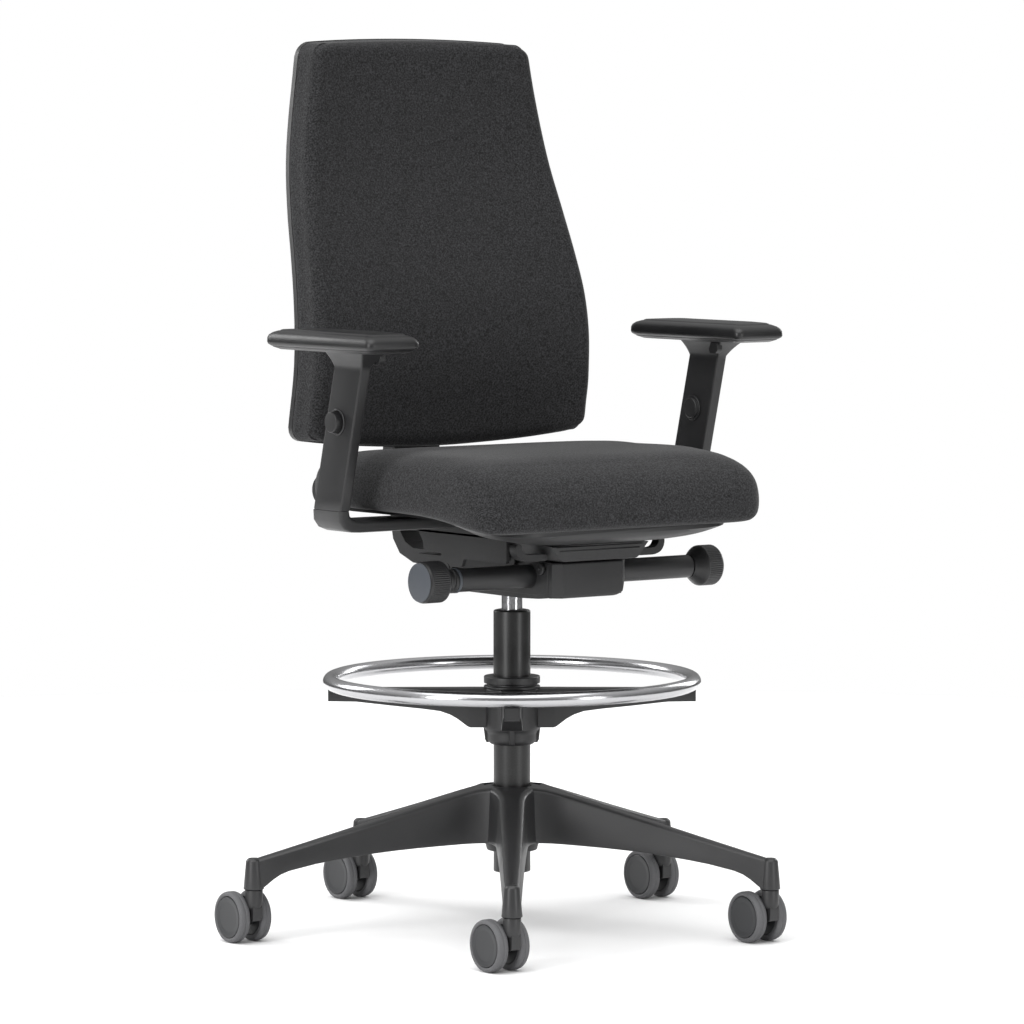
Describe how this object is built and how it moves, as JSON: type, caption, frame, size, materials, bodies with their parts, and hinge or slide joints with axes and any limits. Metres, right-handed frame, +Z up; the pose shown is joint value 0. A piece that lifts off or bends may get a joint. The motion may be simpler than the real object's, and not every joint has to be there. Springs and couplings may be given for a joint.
{
  "type": "drafting chair",
  "caption": "Tall swivel work chair with upholstered seat and back, adjustable arms, height-adjustable foot ring and five-arm caster base.",
  "frame": {"origin": "centre of the bounding box at floor level; the column's axis stands 58 mm in front of it, because every caster trails backward", "axes": "+Z up, -Y is the way the sitter faces, +X is the sitter's left"},
  "size_m": [0.7386, 0.7304, 1.208],
  "materials": {
    "black_plastic": "fine-grained matt black",
    "satin_black": "satin black",
    "powder_coat": "fine-textured black powder coat",
    "grey_tyre": "soft grey tread",
    "chrome": "polished",
    "steel": "turned steel",
    "grey_plastic": "satin blue-grey",
    "fabric": "woven black, lightly speckled",
    "pad_foam": "soft-touch black polyurethane"
  },
  "bodies": {
    "base": {"base_star": "satin_black", "column_tube": "powder_coat", "guide_bush": "black_plastic"},
    "caster_1": {"caster_stem_1": "steel", "caster_housing_1": "satin_black"},
    "wheel_right_1": {"wheel_right_1": "grey_tyre"},
    "wheel_left_1": {"wheel_left_1": "grey_tyre"},
    "caster_2": {"caster_stem_2": "steel", "caster_housing_2": "satin_black"},
    "wheel_right_2": {"wheel_right_2": "grey_tyre"},
    "wheel_left_2": {"wheel_left_2": "grey_tyre"},
    "caster_3": {"caster_stem_3": "steel", "caster_housing_3": "satin_black"},
    "wheel_right_3": {"wheel_right_3": "grey_tyre"},
    "wheel_left_3": {"wheel_left_3": "grey_tyre"},
    "caster_4": {"caster_stem_4": "steel", "caster_housing_4": "satin_black"},
    "wheel_right_4": {"wheel_right_4": "grey_tyre"},
    "wheel_left_4": {"wheel_left_4": "grey_tyre"},
    "caster_5": {"caster_stem_5": "steel", "caster_housing_5": "satin_black"},
    "wheel_right_5": {"wheel_right_5": "grey_tyre"},
    "wheel_left_5": {"wheel_left_5": "grey_tyre"},
    "foot_ring": {"foot_ring": "chrome", "foot_ring_carrier": "black_plastic"},
    "foot_ring_lock": {"foot_ring_lock": "black_plastic"},
    "swivel": {"piston_rod": "steel", "thrust_bearing": "steel", "rod_clip": "steel"},
    "lift": {"gas_cylinder": "chrome", "mechanism_case": "black_plastic", "mechanism_cover": "black_plastic", "back_pivot_pin": "steel", "seat_pivot_pin": "steel", "lift_bar": "black_plastic", "tension_bar": "black_plastic", "tension_spring": "steel"},
    "lift_knob": {"lift_knob": "black_plastic"},
    "tension_knob": {"tension_knob": "black_plastic", "tension_knob_cap": "grey_plastic"},
    "seat_tilt": {"seat_carrier": "black_plastic", "arm_bracket_left": "black_plastic", "arm_bracket_right": "black_plastic"},
    "seat_slide": {"seat_pan": "black_plastic", "seat_cushion": "fabric"},
    "back_tilt": {"back_lever": "black_plastic"},
    "back_knob": {"back_knob": "black_plastic"},
    "back_height": {"back_sleeve": "black_plastic", "back_shell": "black_plastic", "back_cushion": "fabric"},
    "arm_height_right": {"arm_sleeve_right": "black_plastic", "arm_cap_right": "black_plastic"},
    "arm_button_right": {"arm_button_right": "black_plastic"},
    "pad_slide_right": {"arm_pad_base_right": "black_plastic", "arm_pad_right": "pad_foam"},
    "arm_height_left": {"arm_sleeve_left": "black_plastic", "arm_cap_left": "black_plastic"},
    "arm_button_left": {"arm_button_left": "black_plastic"},
    "pad_slide_left": {"arm_pad_base_left": "black_plastic", "arm_pad_left": "pad_foam"}
  },
  "joints": [
    {"name": "caster_1_swivel", "type": "hinge", "parent": "base", "child": "caster_1", "pos_m": [-0.21278, -0.35118, 0.0735], "axis": [0, 0, 1], "continuous": true},
    {"name": "wheel_right_1_spin", "type": "hinge", "parent": "caster_1", "child": "wheel_right_1", "pos_m": [-0.21278, -0.32418, 0.0345], "axis": [1, 0, 0], "continuous": true},
    {"name": "wheel_left_1_spin", "type": "hinge", "parent": "caster_1", "child": "wheel_left_1", "pos_m": [-0.21278, -0.32418, 0.0345], "axis": [1, 0, 0], "continuous": true},
    {"name": "caster_2_swivel", "type": "hinge", "parent": "base", "child": "caster_2", "pos_m": [0.21278, -0.35118, 0.0735], "axis": [0, 0, 1], "continuous": true},
    {"name": "wheel_right_2_spin", "type": "hinge", "parent": "caster_2", "child": "wheel_right_2", "pos_m": [0.21278, -0.32418, 0.0345], "axis": [1, 0, 0], "continuous": true},
    {"name": "wheel_left_2_spin", "type": "hinge", "parent": "caster_2", "child": "wheel_left_2", "pos_m": [0.21278, -0.32418, 0.0345], "axis": [1, 0, 0], "continuous": true},
    {"name": "caster_3_swivel", "type": "hinge", "parent": "base", "child": "caster_3", "pos_m": [0.34428, 0.05355, 0.0735], "axis": [0, 0, 1], "continuous": true},
    {"name": "wheel_right_3_spin", "type": "hinge", "parent": "caster_3", "child": "wheel_right_3", "pos_m": [0.34428, 0.08055, 0.0345], "axis": [1, 0, 0], "continuous": true},
    {"name": "wheel_left_3_spin", "type": "hinge", "parent": "caster_3", "child": "wheel_left_3", "pos_m": [0.34428, 0.08055, 0.0345], "axis": [1, 0, 0], "continuous": true},
    {"name": "caster_4_swivel", "type": "hinge", "parent": "base", "child": "caster_4", "pos_m": [0, 0.30368, 0.0735], "axis": [0, 0, 1], "continuous": true},
    {"name": "wheel_right_4_spin", "type": "hinge", "parent": "caster_4", "child": "wheel_right_4", "pos_m": [0, 0.33068, 0.0345], "axis": [1, 0, 0], "continuous": true},
    {"name": "wheel_left_4_spin", "type": "hinge", "parent": "caster_4", "child": "wheel_left_4", "pos_m": [0, 0.33068, 0.0345], "axis": [1, 0, 0], "continuous": true},
    {"name": "caster_5_swivel", "type": "hinge", "parent": "base", "child": "caster_5", "pos_m": [-0.34428, 0.05355, 0.0735], "axis": [0, 0, 1], "continuous": true},
    {"name": "wheel_right_5_spin", "type": "hinge", "parent": "caster_5", "child": "wheel_right_5", "pos_m": [-0.34428, 0.08055, 0.0345], "axis": [1, 0, 0], "continuous": true},
    {"name": "wheel_left_5_spin", "type": "hinge", "parent": "caster_5", "child": "wheel_left_5", "pos_m": [-0.34428, 0.08055, 0.0345], "axis": [1, 0, 0], "continuous": true},
    {"name": "foot_ring_height", "type": "slide", "parent": "base", "child": "foot_ring", "axis": [0, 0, 1], "range_m": [-0.05, 0.08]},
    {"name": "foot_ring_lock_twist", "type": "hinge", "parent": "foot_ring", "child": "foot_ring_lock", "pos_m": [0, -0.05832, 0.3317], "axis": [0, 0, 1], "range_deg": [0, 90]},
    {"name": "seat_swivel", "type": "hinge", "parent": "base", "child": "swivel", "pos_m": [0, -0.05832, 0.0825], "axis": [0, 0, 1], "continuous": true},
    {"name": "gas_lift", "type": "slide", "parent": "swivel", "child": "lift", "axis": [0, 0, 1], "range_m": [0, 0.22]},
    {"name": "lift_knob_twist", "type": "hinge", "parent": "lift", "child": "lift_knob", "pos_m": [0.187, -0.18132, 0.4948], "axis": [1, 0, 0], "range_deg": [0, 20], "stiffness_Nm_per_rad": 0.6},
    {"name": "tension_knob_turn", "type": "hinge", "parent": "lift", "child": "tension_knob", "pos_m": [-0.187, -0.18132, 0.4948], "axis": [1, 0, 0], "range_deg": [-360, 360]},
    {"name": "back_tilt", "type": "hinge", "parent": "lift", "child": "back_tilt", "pos_m": [0, -0.00332, 0.495], "axis": [-1, 0, 0], "range_deg": [0, 20], "stiffness_Nm_per_rad": 90, "springref_deg": -20.05},
    {"name": "seat_tilt", "type": "hinge", "parent": "lift", "child": "seat_tilt", "pos_m": [0, -0.14332, 0.517], "axis": [-1, 0, 0], "range_deg": [0, 8]},
    {"name": "seat_depth", "type": "slide", "parent": "seat_tilt", "child": "seat_slide", "axis": [0, -1, 0], "range_m": [0, 0.05]},
    {"name": "back_height", "type": "slide", "parent": "back_tilt", "child": "back_height", "axis": [0, 0, 1], "range_m": [0, 0.06]},
    {"name": "back_knob_turn", "type": "hinge", "parent": "back_tilt", "child": "back_knob", "pos_m": [-0.14, 0.17668, 0.592], "axis": [1, 0, 0], "range_deg": [-180, 180]},
    {"name": "arm_height_right", "type": "slide", "parent": "seat_tilt", "child": "arm_height_right", "axis": [0, -0.2516, 0.9678], "range_m": [0, 0.1]},
    {"name": "arm_button_right_press", "type": "slide", "parent": "arm_height_right", "child": "arm_button_right", "axis": [1, 0, 0], "range_m": [0, 0.0035], "stiffness_N_per_m": 400, "springref_m": -0.001},
    {"name": "pad_slide_right", "type": "slide", "parent": "arm_height_right", "child": "pad_slide_right", "axis": [0, -1, 0], "range_m": [-0.03, 0.03]},
    {"name": "arm_height_left", "type": "slide", "parent": "seat_tilt", "child": "arm_height_left", "axis": [0, -0.2516, 0.9678], "range_m": [0, 0.1]},
    {"name": "arm_button_left_press", "type": "slide", "parent": "arm_height_left", "child": "arm_button_left", "axis": [-1, 0, 0], "range_m": [0, 0.0035], "stiffness_N_per_m": 400, "springref_m": -0.001},
    {"name": "pad_slide_left", "type": "slide", "parent": "arm_height_left", "child": "pad_slide_left", "axis": [0, -1, 0], "range_m": [-0.03, 0.03]}
  ],
  "couplings": [
    {"joint": "seat_tilt", "follows": "back_tilt", "ratio": 0.4}
  ]
}
